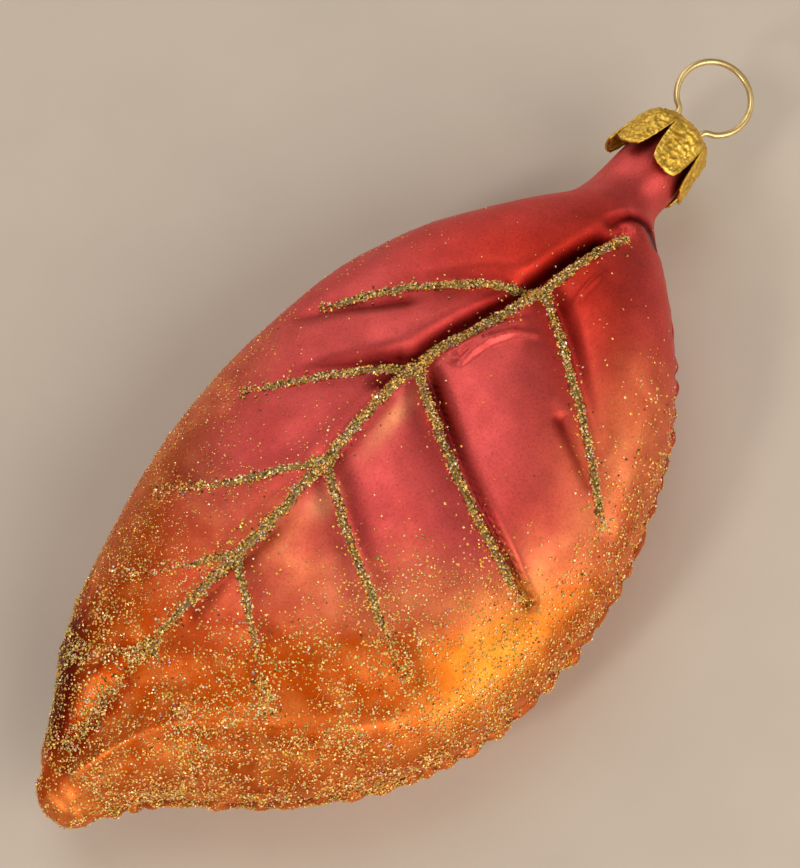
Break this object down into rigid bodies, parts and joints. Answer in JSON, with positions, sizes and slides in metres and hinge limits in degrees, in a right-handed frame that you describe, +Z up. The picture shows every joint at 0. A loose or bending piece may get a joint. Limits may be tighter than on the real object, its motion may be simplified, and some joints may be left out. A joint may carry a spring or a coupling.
{
  "type": "glass leaf ornament",
  "caption": "Hollow blown-glass hanging ornament shaped as a puffed leaf with glitter-lined veins, an open neck, an embossed metal crown cap and a sprung wire ring.",
  "frame": {"origin": "centre of the footprint at the surface it lies on", "axes": "+X along the leaf from its tip to the hanging ring, +Z up through the front face, +Y towards the narrower half of the leaf"},
  "size_m": [0.1316, 0.0562, 0.026],
  "materials": {
    "glass_leaf": "silvered inside, satin translucent lacquer outside, red fading to orange at the tip and margins",
    "crown_cap": "thin gold-coloured sheet, embossed",
    "wire_hanger": "gold-coloured spring wire, smooth",
    "glitter": "gold glitter grains in clear glue"
  },
  "bodies": {
    "root": {"glass_leaf": "glass_leaf", "crown_cap": "crown_cap", "wire_hanger": "wire_hanger", "glitter_midrib": "glitter", "glitter_vein_left_1": "glitter", "glitter_vein_left_2": "glitter", "glitter_vein_left_3": "glitter", "glitter_vein_left_4": "glitter", "glitter_vein_left_5": "glitter", "glitter_vein_right_1": "glitter", "glitter_vein_right_2": "glitter", "glitter_vein_right_3": "glitter", "glitter_vein_right_4": "glitter", "glitter_vein_right_5": "glitter"}
  },
  "joints": []
}
